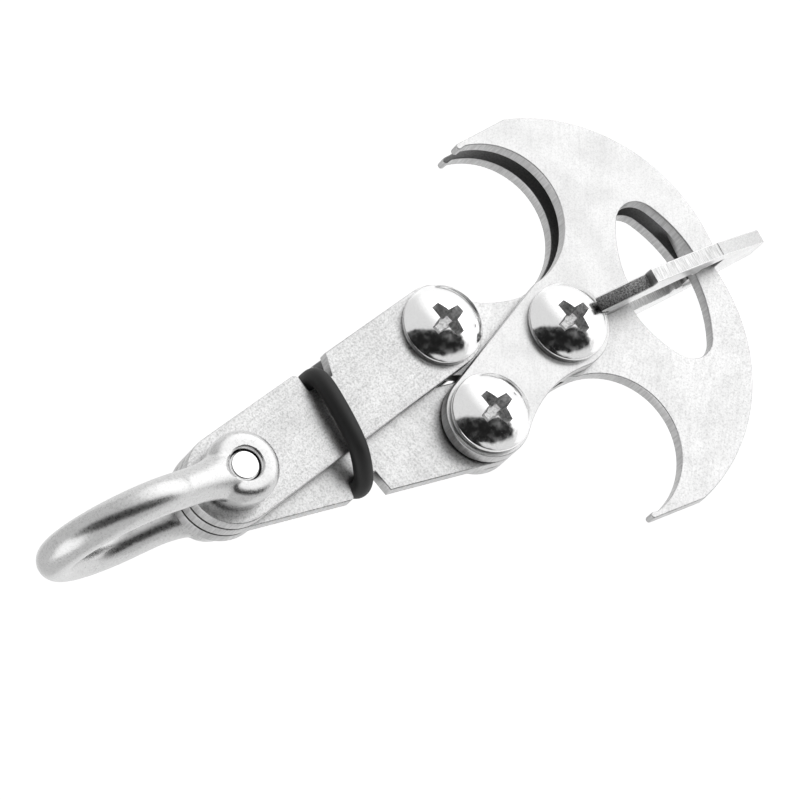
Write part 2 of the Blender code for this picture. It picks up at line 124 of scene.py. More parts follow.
# Shackle.
WIRE_RADIUS = 3.5
WIRE_SIDES = 48
BOW_RADIUS = 14.9
BOW_RISE = 35.6
BOW_LEAN = 2.4
BOW_STEPS = 72
EYE_RADIUS = 7.0
EYE_INNER = 5.4
EYE_THICKNESS = 8.0
EYE_ROUNDING = 2.2
EYE_BORE = 3.2
EYE_CHAMFER = 0.3
NECK_LENGTH = 12.5
NECK_WIDTH = 5.2
NECK_DEPTH = 3.8
NECK_FOOT = 3.5
NECK_FLARE = 2.4
NECK_STEPS = 24
THREAD_PITCH = 0.8
THREAD_DEPTH = 0.2
REMESH_VOXEL = 0.28
SMOOTH_PASSES = 10
PIN_RADIUS = 2.95
PIN_RECESS = 0.8
PIN_BEVEL = 0.4
PIN_UNDER_ROUNDING = 0.2
PIN_UNDER_STEPS = 3
PIN_HEAD_RADIUS = 4.3
PIN_HEAD_LIFT = 0.6
PIN_HEAD_THICKNESS = 2.2
PIN_HEAD_ROUNDING = 0.9
PIN_SLOT_WIDTH = 1.4
PIN_SLOT_DEPTH = 1.1

# O-ring, round the three layers where the notches hold it: the corners it turns on, as (x, y).
RING_RADIUS = 1.85
RING_CLEARANCE = 0.7
RING_CORNERS = ((8.5, 5.1), (2.0, 5.6), (-4.3, 5.1), (-8.5, 1.5))
RING_CORNER_STEPS = 12
RING_SOFTNESS = 2.0
RING_SOFT_REACH = 3.0
RING_POINTS = 180
RING_SIDES = 36

# Where the cross claw's edge steps up and where it creases, down from the centre screw, and how softly: these
# place its painted shade.
CROSS_STEP = 17.15
CROSS_CREASE = 35.3
CROSS_BLEND = 0.3

# Each body's plates: which way the brushing runs, in degrees about Y from +X, then shade and grain contrast.
PLATE_LOOKS = {
    "upper_arm": (78.0, 0.93, 1.7),
    "lower_arm": (-19.0, 0.93, 1.7),
    "upper_claw": (30.0, 0.97, 0.8),
    "lower_claw": (40.0, 1.0, 1.2),
}
# The cross claw's faces take a lighter copy of the plate finish: painted light for the brighter light they
# catch.
CROSS_LIT_LOOK = (30.0, 1.35, 1.0)
PLATE_TONE = 0.64
GRAIN_DARK = 0.14
GRAIN_LIGHT = 0.06
HAIR_DARK = 0.07

# Camera, in metres where it is a place.
CAMERA_PLACE = (-0.15784, -0.9859, 0.4431)
CAMERA_RIGHT = (-0.479, -0.345, -0.807)
CAMERA_FORWARD = (0.140, 0.877, -0.459)
CAMERA_LENS = 270.0
CAMERA_SENSOR = 36.0
CAMERA_NEAR = 0.01
CAMERA_FAR = 200.0

# Floor and softbox, in metres.
FLOOR_HEIGHT = -0.9
FLOOR_FRONT = -0.35
FLOOR_REACH = 30.0
FLOOR_ROUGHNESS = 0.9
FLOOR_GLOW = 0.5
SOFTBOX_PLACE = (-0.3, 0.3, 1.3)
SOFTBOX_TARGET = (0.0, 0.0, -0.09)
SOFTBOX_SIDE = 1.2
SOFTBOX_WATTS = 4.0

# The room's light, and the glow that is added where it comes from.
ROOM_LIGHT = 0.76
GLOW = 1.15
GLOW_FROM = (0.27, -0.48, -0.83)
GLOW_START = 0.35

# The dark patch behind the camera: its shift and reach across and up the view, its edge, and its mottle.
PATCH_SHIFT = (0.06, -0.11)
PATCH_REACH = (0.95, 0.45)
PATCH_POWERS = (4.0, 2.0)
PATCH_EDGE = (0.72, 1.02)
PATCH_FADE = -0.2
PATCH_DARK = 0.985
PATCH_PALE = 0.8
MOTTLE_SCALE = 3.6
MOTTLE_DETAIL = 6.0
MOTTLE_ROUGHNESS = 0.68
MOTTLE_WANDER = 0.14
MOTTLE_RANGE = (0.47, 0.72)

# ---------------------------------------------------------------- materials


class Shader:
    """A Principled material under construction, with the few node patterns that the pieces share."""

    def __init__(self, name, metallic):
        self.material = bpy.data.materials.new(name)
        self.material.use_nodes = True
        self.tree = self.material.node_tree
        self.principled = self.tree.nodes["Principled BSDF"]
        self.principled.inputs["Metallic"].default_value = metallic
        self.height = None

    def link(self, source, target):
        self.tree.links.new(source, target)

    def surface(self, colour, roughness):
        """Gives the material its base colour and roughness."""
        self.link(colour, self.principled.inputs["Base Color"])
        self.link(roughness, self.principled.inputs["Roughness"])

    def position(self, lengths=(1.0, 1.0, 1.0), turn=0.0):
        """Object position in metres, turned about Y and drawn out on each axis."""
        place = self.tree.nodes.new("ShaderNodeTexCoord")
        drawn = self.tree.nodes.new("ShaderNodeMapping")
        drawn.vector_type = "TEXTURE"
        drawn.inputs["Rotation"].default_value[1] = math.radians(turn)
        drawn.inputs["Scale"].default_value = lengths
        self.link(place.outputs["Object"], drawn.inputs["Vector"])
        return drawn.outputs["Vector"]

    def along(self, axis):
        """One coordinate of the object position, in metres."""
        split = self.tree.nodes.new("ShaderNodeSeparateXYZ")
        self.link(self.position(), split.inputs["Vector"])
        return split.outputs[axis]

    def noise(self, per_mm, detail=3.0, roughness=0.55, lengths=(1.0, 1.0, 1.0), turn=0.0):
        """A noise with so many grains to the millimetre, drawn out and turned as position() does."""
        node = self.tree.nodes.new("ShaderNodeTexNoise")
        node.inputs["Scale"].default_value = per_mm / MM
        node.inputs["Detail"].default_value = detail
        node.inputs["Roughness"].default_value = roughness
        self.link(self.position(lengths, turn), node.inputs["Vector"])
        return node.outputs["Fac"]

    def ramp(self, value, low, high, first, second):
        """A value mapped from one range to another, clamped."""
        node = self.tree.nodes.new("ShaderNodeMapRange")
        for name, number in (("From Min", low), ("From Max", high), ("To Min", first), ("To Max", second)):
            node.inputs[name].default_value = number
        self.link(value, node.inputs["Value"])
        return node.outputs["Result"]

    def colours(self, value, stops):
        """A colour ramp through (place, colour) stops."""
        node = self.tree.nodes.new("ShaderNodeValToRGB")
        points = node.color_ramp.elements
        while len(points) < len(stops):
            points.new(0.5)
        for point, (where, colour) in zip(points, stops):
            point.position = where
            point.color = (*colour, 1.0)
        self.link(value, node.inputs["Fac"])
        return node.outputs["Color"]

    def blended(self, first, second, share=None):
        """Two colours multiplied or, with a share, the second laid over the first by that share."""
        node = self.tree.nodes.new("ShaderNodeMix")
        node.data_type = "RGBA"
        node.blend_type = "MULTIPLY" if share is None else "MIX"
        node.inputs["Factor"].default_value = 1.0
        if share is not None:
            self.link(share, node.inputs["Factor"])
        for value, socket in zip((first, second), [i for i in node.inputs if i.type == "RGBA"]):
            self.link(value, socket)
        return [o for o in node.outputs if o.type == "RGBA"][0]

    def bump(self, value, height_mm, strength=1.0):
        """Adds a bump layer over those already there."""
        node = self.tree.nodes.new("ShaderNodeBump")
        node.inputs["Strength"].default_value = strength
        node.inputs["Distance"].default_value = height_mm * MM
        self.link(value, node.inputs["Height"])
        if self.height is not None:
            self.link(self.height, node.inputs["Normal"])
        self.height = node.outputs["Normal"]
        self.link(self.height, self.principled.inputs["Normal"])


def grey(value):
    """A neutral colour."""
    return (value, value, value)


def plate_face(turn, shade, contrast):
    """Fine blasted stainless over brushing that runs one way, with faint cloudy marks."""
    shader = Shader("plate_face", METAL)
    grain = shader.noise(3.0, 5.0, 0.75)
    hairs = shader.noise(2.2, 2.0, 0.5, (16.0, 1.0, 1.0), turn)
    cloud = shader.noise(0.16, 3.0)
    dark = grey((PLATE_TONE - GRAIN_DARK * contrast) * shade)
    light = grey((PLATE_TONE + GRAIN_LIGHT * contrast) * shade)
    tone = shader.colours(grain, [(0.37, dark), (0.5, grey(PLATE_TONE * shade)), (0.63, light)])
    marks = shader.colours(hairs, [(0.3, grey(1.0 - HAIR_DARK * contrast)), (0.55, grey(1.0))])
    tone = shader.blended(tone, marks)
    tone = shader.blended(tone, shader.colours(cloud, [(0.35, grey(0.9)), (0.6, grey(1.0))]))
    shader.surface(tone, shader.ramp(grain, *NOISE_RANGE, 0.28, 0.4))
    shader.bump(grain, 0.03, 0.5 * contrast)
    shader.bump(hairs, 0.006, 0.6)
    return shader.material


def plate_painted_gap_shade():
    """The faces between two plates, painted dark as the shade that falls between the layers."""
    shader = Shader("plate_painted_gap_shade", METAL)
    grain = shader.noise(2.4, 4.0, 0.65)
    # Painted shade: a dark grey where the plates face each other.
    tone = shader.colours(grain, [(0.3, grey(0.13)), (0.7, grey(0.24))])
    shader.surface(tone, shader.ramp(grain, *NOISE_RANGE, 0.45, 0.6))
    shader.bump(grain, 0.012, 0.5)
    return shader.material


def plate_edge():
    """A laser-cut edge: a little darker, with fine strokes through the thickness."""
    shader = Shader("plate_edge", METAL)
    strokes = shader.noise(3.0, 2.0, 0.5, (1.0, 16.0, 1.0))
    grain = shader.noise(5.0, 3.0, 0.7)
    tone = shader.colours(strokes, [(0.35, grey(0.48)), (0.65, grey(0.63))])
    shader.surface(tone, shader.ramp(grain, *NOISE_RANGE, 0.4, 0.55))
    shader.bump(strokes, 0.02, 0.5)
    return shader.material


def cross_edge(step, crease):
    """The cross claw's cut edges: painted shade at the tip, then bright with strokes along X, then plain,
    with a thin line of painted shade at the crease.
    """
    shader = Shader("cross_edge", METAL)
    strokes = shader.noise(9.0, 3.0, 0.6, (20.0, 1.0, 1.0))
    grain = shader.noise(3.4, 4.0, 0.7)
    height = shader.along("Z")
    # Painted shade: near-black greys for the shade on the edge at the tip and along the crease.
    painted_edge_shade = shader.colours(grain, [(0.4, grey(0.07)), (0.62, grey(0.36))])
    bright = shader.colours(strokes, [(0.38, grey(0.4)), (0.56, grey(0.72))])
    plain = shader.colours(grain, [(0.35, grey(0.52)), (0.6, grey(0.68))])
    blend = CROSS_BLEND * MM
    tone = shader.blended(bright, painted_edge_shade, shader.ramp(height, step - blend, step + blend, 0.0, 1.0))
    tone = shader.blended(tone, painted_edge_shade, shader.ramp(height, crease, crease + 0.5 * blend, 1.0, 0.0))
    tone = shader.blended(tone, plain, shader.ramp(height, crease - blend, crease - 0.5 * blend, 1.0, 0.0))
    shader.surface(tone, shader.ramp(strokes, *NOISE_RANGE, 0.36, 0.5))
    shader.bump(strokes, 0.02, 0.6)
    shader.bump(grain, 0.02, 0.5)
    return shader.material


def polished():
    """Polished screw steel with faint scuffs and dust."""
    shader = Shader("polished_screw", METAL)
    scuffs = shader.noise(1.4, 4.0, 0.65)
    dust = shader.noise(6.0, 3.0, 0.7)
    tone = shader.colours(dust, [(0.3, grey(0.84)), (0.6, grey(0.95))])
    shader.surface(tone, shader.ramp(scuffs, 0.35, 0.7, 0.07, 0.17))
    shader.bump(scuffs, 0.006, 0.4)
    return shader.material


def recess_steel_and_shade():
    """The punched walls of a cross recess: duller than the head, and painted darker as the shade inside the
    recess.
    """
    shader = Shader("recess_steel_and_shade", METAL)
    marks = shader.noise(1.8, 4.0, 0.7)
    # These greys sit below the head's steel: painted shade in the recess, varied by the punching marks.
    tone = shader.colours(marks, [(0.35, grey(0.3)), (0.6, grey(0.75))])
    shader.surface(tone, shader.ramp(marks, *NOISE_RANGE, 0.35, 0.55))
    shader.bump(marks, 0.05, 0.6)
    return shader.material


def washer_steel():
    """Dull grey sheet steel."""
    shader = Shader("washer_steel", METAL)
    grain = shader.noise(2.5, 3.0)
    tone = shader.colours(grain, [(0.3, grey(0.2)), (0.7, grey(0.34))])
    shader.surface(tone, shader.ramp(grain, *NOISE_RANGE, 0.3, 0.45))
    shader.bump(grain, 0.01, 0.5)
    return shader.material


def tumbled():
    """The shackle's tumbled steel: softly polished, with a slow unevenness and small pits."""
    shader = Shader("shackle_steel", METAL)
    slow = shader.noise(0.12, 2.0)
    pits = shader.noise(2.2, 4.0, 0.65)
    tone = shader.colours(pits, [(0.3, grey(0.48)), (0.55, grey(0.62))])
    shader.surface(tone, shader.ramp(pits, *NOISE_RANGE, 0.24, 0.36))
    shader.bump(slow, 0.25, 0.35)
    shader.bump(pits, 0.01, 0.5)
    return shader.material


def rubber():
    """Matt black rubber with a fine skin."""
    shader = Shader("black_rubber", NOT_METAL)
    grain = shader.noise(3.0, 4.0, 0.6)
    tone = shader.colours(grain, [(0.3, grey(0.003)), (0.7, grey(0.01))])
    shader.surface(tone, shader.ramp(grain, *NOISE_RANGE, 0.5, 0.66))
    shader.bump(grain, 0.02, 0.4)
    return shader.material


# ---------------------------------------------------------------- mesh helpers


def finish(name, work, materials, body, nodes, sharp=SHARP):
    """Turns a bmesh into a piece that stands for CAD nodes and, if a body is given, rides on it."""
    bmesh.ops.recalc_face_normals(work, faces=work.faces)
    mesh = bpy.data.meshes.new(name)
    work.to_mesh(mesh)
    work.free()
    mesh.shade_smooth()
    mesh.set_sharp_from_angle(angle=math.radians(sharp))
    for material in materials:
        mesh.materials.append(material)
    piece = bpy.data.objects.new(name, mesh)
    bpy.context.scene.collection.objects.link(piece)
    if body:
        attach(piece, body)
    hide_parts(*nodes)
    return piece


def cap_loops(mesh, axis):
    """The closed loops round the cap that faces down an axis, each in order, with the metal on the left."""
    work = bmesh.new()
    work.from_mesh(mesh)
    bmesh.ops.remove_doubles(work, verts=work.verts, dist=1e-6)
    after = {}
    for face in work.faces:
        if face.normal[axis] > -CAP_FACING:
            continue
        for loop in face.loops:
            other = [f for f in loop.edge.link_faces if f != face][0]
            if other.normal[axis] > -CAP_FACING:
                after[loop.vert.index] = loop.link_loop_next.vert.index
    points = [vert.co.copy() for vert in work.verts]
    work.free()
    loops = []
    while after:
        start = next(iter(after))
        ring, here = [], start
        while here in after:
            ring.append(points[here])
            here = after.pop(here)
        loops.append(ring)
    return loops


def inset_loop(ring, axis, distance):
    """A flat loop moved into the metal on its left by a distance."""
    down = Vector([0.0, 0.0, 0.0])
    down[axis] = -1.0
    moved = []
    for i, point in enumerate(ring):
        before = (point - ring[i - 1]).normalized()
        after = (ring[(i + 1) % len(ring)] - point).normalized()
        left_before, left_after = down.cross(before), down.cross(after)
        share = 1.0 / max(MITRE_LIMIT, 1.0 + left_before.dot(left_after))
        moved.append(point + (left_before + left_after) * share * distance)
    return moved


def bevelled_slab(loops, axis, thickness):
    """A slab with rounded edges: material 0 on the caps and their bevels, 1 on the walls."""
    bevel = PLATE_BEVEL * MM
    steps = []
    for i in range(BEVEL_STEPS + 1):
        turn = math.radians(90.0 * i / BEVEL_STEPS)
        steps.append((bevel * (1.0 - math.sin(turn)), bevel * (1.0 - math.cos(turn))))
    levels = [(bevel + CAP_MARGIN * MM, 0.0)] + steps
    levels += [(inset, thickness - depth) for inset, depth in reversed(levels)]
    work = bmesh.new()
    caps = ([], [])
    wall = len(levels) // 2 - 1
    for ring in loops:
        rows = []
        for inset, depth in levels:
            shift = Vector([0.0, 0.0, 0.0])
            shift[axis] = depth
            rows.append([work.verts.new(point + shift) for point in inset_loop(ring, axis, inset)])
        for level, (low, high) in enumerate(zip(rows, rows[1:])):
            for i in range(len(low)):
                face = work.faces.new((low[i - 1], low[i], high[i], high[i - 1]))
                face.material_index = 1 if level == wall else 0
        for cap, row in zip(caps, (rows[0], rows[-1])):
            cap += [work.edges.get((row[i - 1], row[i])) for i in range(len(row))]
    for cap in caps:
        bmesh.ops.triangle_fill(work, use_beauty=True, use_dissolve=False, edges=cap)
    return work


def lathe(profile, centre):
    """A bmesh turned about the Y axis through a centre, from (radius, y) pairs in millimetres."""
    work = bmesh.new()
    rings = []
    for radius, depth in profile:
        if radius == 0.0:
            rings.append([work.verts.new(centre + Vector((0.0, depth * MM, 0.0)))])
            continue
        ring = []
        for i in range(ROUND):
            turn = 2.0 * math.pi * i / ROUND
            out = Vector((radius * math.cos(turn), depth, radius * math.sin(turn)))
            ring.append(work.verts.new(centre + out * MM))
        rings.append(ring)
    for first, second in zip(rings, rings[1:]):
        for i in range(ROUND):
            j = (i + 1) % ROUND
            near = (first[i % len(first)], first[j % len(first)])
            far = (second[j % len(second)], second[i % len(second)])
            work.faces.new(list(dict.fromkeys(near + far)))
    bmesh.ops.recalc_face_normals(work, faces=work.faces)
    return work


def corner(centre, radius, start, end, steps=CORNER_STEPS):
    """Points of a rounded corner, as (radius, y) pairs, between two angles in degrees."""
    angles = [math.radians(start + (end - start) * i / steps) for i in range(steps + 1)]
    return [(centre[0] + radius * math.cos(a), centre[1] + radius * math.sin(a)) for a in angles]


def helper(name, work, materials=()):
    """A plain object in the scene, for cutting, joining or the floor."""
    mesh = bpy.data.meshes.new(name)
    work.to_mesh(mesh)
    work.free()
    for material in materials:
        mesh.materials.append(material)
    obj = bpy.data.objects.new(name, mesh)
    bpy.context.scene.collection.objects.link(obj)
    return obj


def applied(obj):
    """A bmesh of the object after its modifiers. The object and what it was cut with are removed."""
    graph = bpy.context.evaluated_depsgraph_get()
    work = bmesh.new()
    work.from_object(obj, graph)
    tools = [m.object for m in obj.modifiers if m.type == "BOOLEAN"]
    for old in [obj] + tools:
        bpy.data.objects.remove(old)
    return work


def boolean(obj, work, operation):
    """Cuts or joins an object with a bmesh, by a modifier that applied() carries out."""
    tool = helper(obj.name + "_tool", work, obj.data.materials)
    modifier = obj.modifiers.new(operation.title(), "BOOLEAN")
    modifier.operation = operation
    modifier.object = tool
    modifier.solver = "EXACT"
    tool.hide_render = True


# ---------------------------------------------------------------- pieces


def plate(name, body, face, edge, painted_gap_shade):
    """A copy of a CAD plate with its edges rounded, and painted shade where it faces another layer."""
    node = frame["nodes"][name]
    low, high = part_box(name)
    axis = 0 if name == "cross_claw" else 1
    work = bevelled_slab(cap_loops(node.data, axis), axis, high[axis] - low[axis])
    inward = {"front": 1.0, "back": -1.0}.get(name.split("_")[-2], 0.0)
    bmesh.ops.recalc_face_normals(work, faces=work.faces)
    # Faces turned to the next layer take the painted shade between the layers.
    for face_of_plate in work.faces:
        if axis == 1 and face_of_plate.normal.y * inward > INWARD_FACING:
            face_of_plate.material_index = 2
    finish(name + "_look", work, [face, edge, painted_gap_shade], body, [name])


def centre_of(name):
    """The middle of a CAD node's box, on the plane through the middle plates."""
    low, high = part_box(name)
    return Vector(((low.x + high.x) / 2.0, 0.0, (low.z + high.z) / 2.0))


def dome(radius, rise):
    """(radius, height) pairs of a low dome from its rim to its top."""
    ball = (radius**2 + rise**2) / (2.0 * rise)
    half = math.asin(radius / ball)
    pairs = []
    for i in range(DOME_STEPS):
        turn = half * (1.0 - i / DOME_STEPS)
        pairs.append((ball * math.sin(turn), ball * math.cos(turn) - ball + rise))
    return pairs + [(0.0, rise)]


def recess_cutter(centre, top):
    """The cross recess: four wings that slope in and narrow towards their foot."""
    work = bmesh.new()
    rings = []
    above = 1.0 + CUT_MARGIN * (1.0 - RECESS_FOOT) / RECESS_DEPTH
    for share, depth in ((above, -CUT_MARGIN), (RECESS_FOOT, RECESS_DEPTH)):
        span, hub = RECESS_SPAN * share, RECESS_HUB * share
        width = RECESS_WIDTH * (1.0 - RECESS_TAPER + RECESS_TAPER * share)
        inner = max(hub, width)
        ring = []
        for turn in range(4):
            for x, z in ((span, -width), (span, width), (inner, inner)):
                angle = math.radians(RECESS_TURN + 90.0 * turn)
                across = x * math.cos(angle) - z * math.sin(angle)
                up = x * math.sin(angle) + z * math.cos(angle)
                ring.append(work.verts.new(centre + Vector((across, top + depth, up)) * MM))
        rings.append(ring)
    mouth, foot = rings
    work.faces.new(mouth)
    work.faces.new(foot[::-1])
    for i in range(len(mouth)):
        work.faces.new((mouth[i - 1], foot[i - 1], foot[i], mouth[i]))
    for face in work.faces:
        face.material_index = 1
    bmesh.ops.recalc_face_normals(work, faces=work.faces)
    return work


def head_profile(radius, rise, under):
    """A low domed head from the top of its dome to its underside, with its rim rounded, facing -Y."""
    rim = under - HEAD_RIM
    pairs = [(r, rim - h) for r, h in dome(radius, rise)][::-1]
    pairs = [(r, y) for r, y in pairs if r < radius - HEAD_ROUND / 2.0]
    pairs += corner((radius - HEAD_ROUND, rim + HEAD_SHOULDER), HEAD_ROUND, DOME_EDGE_TURN, 0.0)
    return pairs + corner((radius - HEAD_ROUND, under - HEAD_ROUND), HEAD_ROUND, 0.0, 90.0)


def screw(name, body, steels):
    """A truss-head screw with a cross recess, the size of its CAD node."""
    low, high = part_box(name)
    centre = centre_of(name)
    radius = (high.x - low.x) / 2.0 / MM
    top, tail = low.y / MM, high.y / MM
    under = -HALF_STACK - HEAD_LIFT
    profile = head_profile(radius, under - HEAD_RIM - top, under)
    profile += [(SHANK_RADIUS, under), (SHANK_RADIUS, tail), (0.0, tail)]
    head = helper(name + "_work", lathe(profile, centre), steels)
    boolean(head, recess_cutter(centre, top), "DIFFERENCE")
    finish(name + "_look", applied(head), steels, body, [name], SCREW_SHARP)


def nut(name, body, steel):
    """The barrel that the plates turn on, with its low domed head behind."""
    low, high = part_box(name)
    radius, top = (high.x - low.x) / 2.0 / MM, high.y / MM
    under = HALF_STACK + HEAD_LIFT
    head = head_profile(radius, top - under - HEAD_RIM, -under)
    floor_at = HALF_STACK - NUT_FLOOR
    profile = [(r, -y) for r, y in head] + [(BARREL_RADIUS, under), (BARREL_RADIUS, -HALF_STACK)]
    profile += [(BORE_RADIUS, -HALF_STACK), (BORE_RADIUS, floor_at), (0.0, floor_at)]
    work = lathe(profile, centre_of(name))
    finish(name + "_look", work, [steel], body, [name], SCREW_SHARP)


def washer(name, body, steel):
    """A thin washer in a gap between two layers."""
    low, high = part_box(name)
    radius = (high.x - low.x) / 2.0 / MM
    near, far = low.y / MM, high.y / MM
    bore = EYE_BORE if name.startswith("shackle") else WASHER_BORE
    edge = radius - WASHER_ROUNDING
    profile = [(bore, near)]
    profile += corner((edge, near + WASHER_ROUNDING), WASHER_ROUNDING, -90.0, 0.0, WASHER_STEPS)
    profile += corner((edge, far - WASHER_ROUNDING), WASHER_ROUNDING, 0.0, 90.0, WASHER_STEPS)
    profile += [(bore, far), (bore, near)]
    work = lathe(profile, centre_of(name))
    bmesh.ops.remove_doubles(work, verts=work.verts, dist=1e-7)
    finish(name + "_look", work, [steel], body, [name])


def bow_line():
    """The middle line of the bow from the front eye to the back one, as (y, z, half width, half depth).

    The wire flares into each eye as a forged neck does.
    """
    eye_at = EYE_INNER + EYE_THICKNESS / 2.0
    centre = BOW_RISE - BOW_RADIUS
    reach = math.hypot(eye_at, centre)
    tangent = math.degrees(math.acos(BOW_RADIUS / reach) + math.atan2(centre, eye_at)) - 90.0
    over = corner((0.0, centre), BOW_RADIUS, -tangent, 180.0 + tangent, BOW_STEPS)
    rising = []
    for i in range(NECK_STEPS):
        along = i / NECK_STEPS
        down = (NECK_LENGTH - over[0][1] * along) / (NECK_LENGTH - NECK_FOOT)
        flare = min(1.0, max(0.0, down)) ** NECK_FLARE
        width = WIRE_RADIUS + (NECK_WIDTH - WIRE_RADIUS) * flare
        depth = WIRE_RADIUS + (NECK_DEPTH - WIRE_RADIUS) * flare
        rising.append((eye_at + (over[0][0] - eye_at) * along, over[0][1] * along, width, depth))
    falling = [(-y, z, width, depth) for y, z, width, depth in reversed(rising)]
    return rising + [(y, z, WIRE_RADIUS, WIRE_RADIUS) for y, z in over] + falling


def wire(line):
    """A bmesh tube down a line of (y, z, width, depth) points in the YZ plane."""
    work = bmesh.new()
    rings = []
    for i, (y, z, width, depth) in enumerate(line):
        before, after = line[max(0, i - 1)], line[min(len(line) - 1, i + 1)]
        along = Vector((0.0, after[0] - before[0], after[1] - before[1])).normalized()
        across = Vector((1.0, 0.0, 0.0))
        out = along.cross(across)
        ring = []
        for k in range(WIRE_SIDES):
            turn = 2.0 * math.pi * k / WIRE_SIDES
            spot = Vector((0.0, y, z)) + across * math.cos(turn) * width + out * math.sin(turn) * depth
            ring.append(work.verts.new(spot * MM))
        rings.append(ring)
    for low, high in zip(rings, rings[1:]):
        for k in range(WIRE_SIDES):
            work.faces.new((low[k - 1], low[k], high[k], high[k - 1]))
    work.faces.new(rings[0])
    work.faces.new(rings[-1])
    bmesh.ops.recalc_face_normals(work, faces=work.faces)
    return work


def eye(side):
    """A solid round eye on one side of the plates, before it is bored."""
    outer = EYE_INNER + EYE_THICKNESS
    edge = EYE_RADIUS - EYE_ROUNDING
    profile = [(0.0, EYE_INNER)]
    profile += corner((edge, EYE_INNER + EYE_ROUNDING), EYE_ROUNDING, -90.0, 0.0, ROUNDING_STEPS)
    profile += corner((edge, outer - EYE_ROUNDING), EYE_ROUNDING, 0.0, 90.0, ROUNDING_STEPS)
    profile += [(0.0, outer)]
    return lathe([(radius, side * depth) for radius, depth in profile], Vector())


def bore_profile():
    """The cutter for both eyes' bores: chamfered mouths, a thread in the front eye, a plain run behind."""
    outer = EYE_INNER + EYE_THICKNESS
    mouth = EYE_BORE + EYE_CHAMFER + CUT_MARGIN
    profile = [(0.0, -outer - CUT_MARGIN), (mouth, -outer - CUT_MARGIN), (EYE_BORE, EYE_CHAMFER - outer)]
    depth = EYE_CHAMFER - outer
    while depth < -EYE_INNER - THREAD_PITCH:
        profile += [(EYE_BORE + THREAD_DEPTH, depth + THREAD_PITCH / 2.0), (EYE_BORE, depth + THREAD_PITCH)]
        depth += THREAD_PITCH
    return profile + [(EYE_BORE, outer - EYE_CHAMFER), (mouth, outer + CUT_MARGIN), (0.0, outer + CUT_MARGIN)]


def shackle_bow(steel, pin_centre):
    """The bow, its wire flowing into two bored eyes."""
    bow = helper("bow_work", wire(bow_line()))
    for side in (-1, 1):
        boolean(bow, eye(side), "UNION")
    joined = helper("bow_joined", applied(bow))
    remesh = joined.modifiers.new("Remesh", "REMESH")
    remesh.mode = "VOXEL"
    remesh.voxel_size = REMESH_VOXEL * MM
    soften = joined.modifiers.new("Smooth", "SMOOTH")
    soften.iterations = SMOOTH_PASSES
    boolean(joined, lathe(bore_profile(), Vector()), "DIFFERENCE")
    work = applied(joined)
    lean = Matrix.Rotation(math.radians(BOW_LEAN), 4, "Y")
    work.transform(Matrix.Translation(pin_centre) @ lean)
    finish("shackle_bow_look", work, [steel], "shackle", ["shackle_bow"], BOW_SHARP)


def shackle_pin(steel, pin_centre):
    """The screw pin: its bevelled end sits back in the front eye, and its slotted round head is behind."""
    outer = EYE_INNER + EYE_THICKNESS
    end, seat = PIN_RECESS - outer, outer + PIN_HEAD_LIFT
    top = seat + PIN_HEAD_THICKNESS
    edge = PIN_HEAD_RADIUS - PIN_HEAD_ROUNDING
    profile = [(0.0, end), (PIN_RADIUS - PIN_BEVEL, end), (PIN_RADIUS, end + PIN_BEVEL), (PIN_RADIUS, seat)]
    under = (PIN_HEAD_RADIUS - PIN_UNDER_ROUNDING, seat + PIN_UNDER_ROUNDING)
    profile += corner(under, PIN_UNDER_ROUNDING, -90.0, 0.0, PIN_UNDER_STEPS)
    profile += corner((edge, top - PIN_HEAD_ROUNDING), PIN_HEAD_ROUNDING, 0.0, 90.0, ROUNDING_STEPS)
    profile += [(0.0, top)]
    pin = helper("pin_work", lathe(profile, pin_centre))
    slot = bmesh.new()
    bmesh.ops.create_cube(slot, size=1.0)
    size = Vector((4.0 * PIN_HEAD_RADIUS, 2.0 * PIN_SLOT_DEPTH, PIN_SLOT_WIDTH)) * MM
    slot.transform(Matrix.Diagonal((*size, 1.0)))
    slot.transform(Matrix.Translation(pin_centre + Vector((0.0, top * MM, 0.0))))
    boolean(pin, slot, "DIFFERENCE")
    work = applied(pin)
    finish("shackle_pin_look", work, [steel], "shackle", ["shackle_pin"], SCREW_SHARP)


def ring_line():
    """The ring's closed middle line as (x, y): round its corners at a distance."""
    corners = list(RING_CORNERS) + [(x, -y) for x, y in reversed(RING_CORNERS)]
    line = []
    for i, spot in enumerate(corners):
        before, after = corners[i - 1], corners[(i + 1) % len(corners)]
        start = math.degrees(math.atan2(spot[1] - before[1], spot[0] - before[0])) - 90.0
        end = math.degrees(math.atan2(after[1] - spot[1], after[0] - spot[0])) - 90.0
        end = start + (end - start) % 360.0
        line += corner(spot, RING_RADIUS + RING_CLEARANCE, start, end, RING_CORNER_STEPS)
    return line


def evenly(line, count):
    """Points at equal steps along a closed line, and the length of a step."""
    sides = [math.dist(line[i - 1], line[i]) for i in range(len(line))]
    step = sum(sides) / count
    points, walked, i = [], 0.0, 0
    for k in range(count):
        while walked + sides[i] < k * step:
            walked += sides[i]
            i += 1
        share = (k * step - walked) / sides[i]
        points.append(tuple(a + (b - a) * share for a, b in zip(line[i - 1], line[i])))
    return points, step


def softened(line, count, length):
    """The closed line averaged over a short length each way, so that its bends are those of thick rubber."""
    points, step = evenly(line, count)
    reach = int(RING_SOFT_REACH * length / step)
    weights = {k: math.exp(-((k * step / length) ** 2) / 2.0) for k in range(-reach, reach + 1)}
    total = sum(weights.values())
    return [
        tuple(sum(w * points[(i + k) % count][axis] for k, w in weights.items()) / total for axis in (0, 1))
        for i in range(count)
    ]


